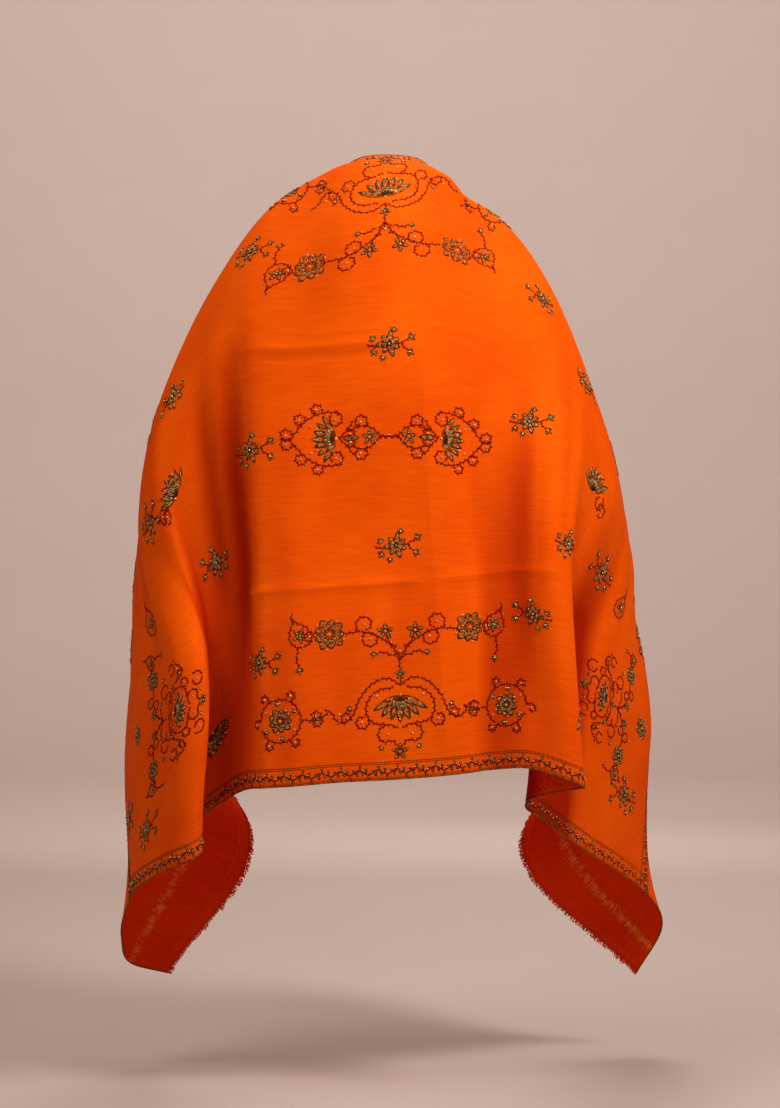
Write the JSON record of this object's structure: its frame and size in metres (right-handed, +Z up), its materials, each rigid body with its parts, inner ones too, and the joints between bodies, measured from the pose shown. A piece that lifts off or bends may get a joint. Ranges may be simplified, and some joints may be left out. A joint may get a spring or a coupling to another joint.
{
  "type": "wool shawl",
  "caption": "Long rectangular wool shawl with floral embroidery and short frayed ends, draped open over the back, both shoulders and both arms.",
  "frame": {"origin": "middle of the shawl's top edge, where it rests on the nape of the neck", "axes": "+Z up, +Y towards the wearer's front, +X to the wearer's right"},
  "size_m": [0.8742, 0.5696, 1.2933],
  "materials": {
    "wool": "soft woven wool with a low sheen",
    "frayed_wool": "loose frayed yarn"
  },
  "bodies": {
    "root": {"shawl_left": "wool", "shawl_back": "wool", "shawl_right": "wool", "fringe_left": "frayed_wool", "fringe_right": "frayed_wool"}
  },
  "joints": []
}
